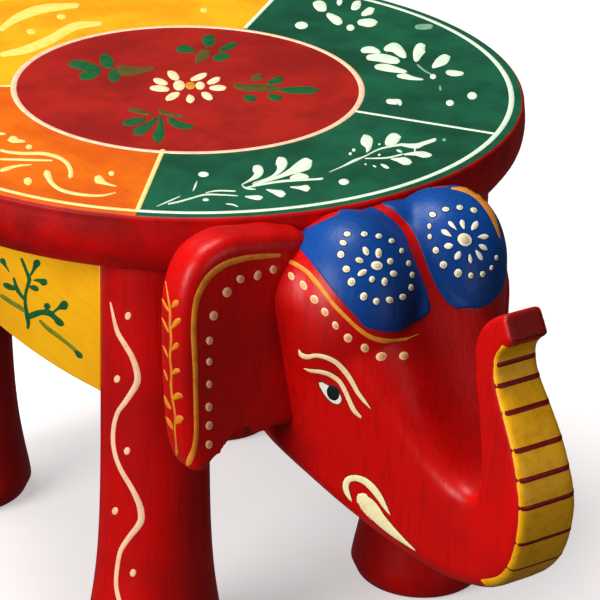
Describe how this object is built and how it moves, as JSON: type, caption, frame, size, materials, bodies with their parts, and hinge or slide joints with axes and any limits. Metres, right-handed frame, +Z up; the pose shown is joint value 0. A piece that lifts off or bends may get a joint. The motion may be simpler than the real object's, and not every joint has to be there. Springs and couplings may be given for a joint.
{
  "type": "elephant stool",
  "caption": "Low round stool of painted wood in the form of an elephant, with turned legs, arched side boards, carved head, raised trunk and ears.",
  "frame": {"origin": "on the floor, under the middle of the whole stool's outline", "axes": "+Z up, the elephant faces -Y, its right side is -X"},
  "size_m": [0.304, 0.4257, 0.2321],
  "materials": {
    "seat_paint": "glossy enamel in green, orange, yellow and brown red sectors on wood",
    "red_enamel": "glossy bright red enamel on wood, with hand-painted lines and dots",
    "yellow_enamel": "glossy yellow enamel on wood, with a painted plant",
    "blue_enamel": "glossy deep blue enamel on wood",
    "gold_paint": "semi-gloss gold ochre paint lines",
    "green_paint": "semi-gloss green paint ornament",
    "cream_paint": "semi-gloss cream paint lines, dots and leaves",
    "black_paint": "gloss black paint of the eyes",
    "bare_wood": "bare planed hardwood",
    "screw_steel": "zinc-plated steel"
  },
  "bodies": {
    "root": {"seat_top": "seat_paint", "leg_front_right": "red_enamel", "leg_front_left": "red_enamel", "leg_rear_right": "red_enamel", "leg_rear_left": "red_enamel", "apron_right": "yellow_enamel", "apron_left": "yellow_enamel", "apron_front": "yellow_enamel", "apron_rear": "yellow_enamel", "head": "red_enamel", "ear_right": "red_enamel", "ear_left": "red_enamel", "tail": "red_enamel", "apron_dowels": "bare_wood", "ear_dowels": "bare_wood", "tail_dowel": "bare_wood", "head_screws": "screw_steel", "cleat_right": "bare_wood", "cleat_left": "bare_wood", "seat_screws": "screw_steel", "cleat_screws": "screw_steel"}
  },
  "joints": []
}
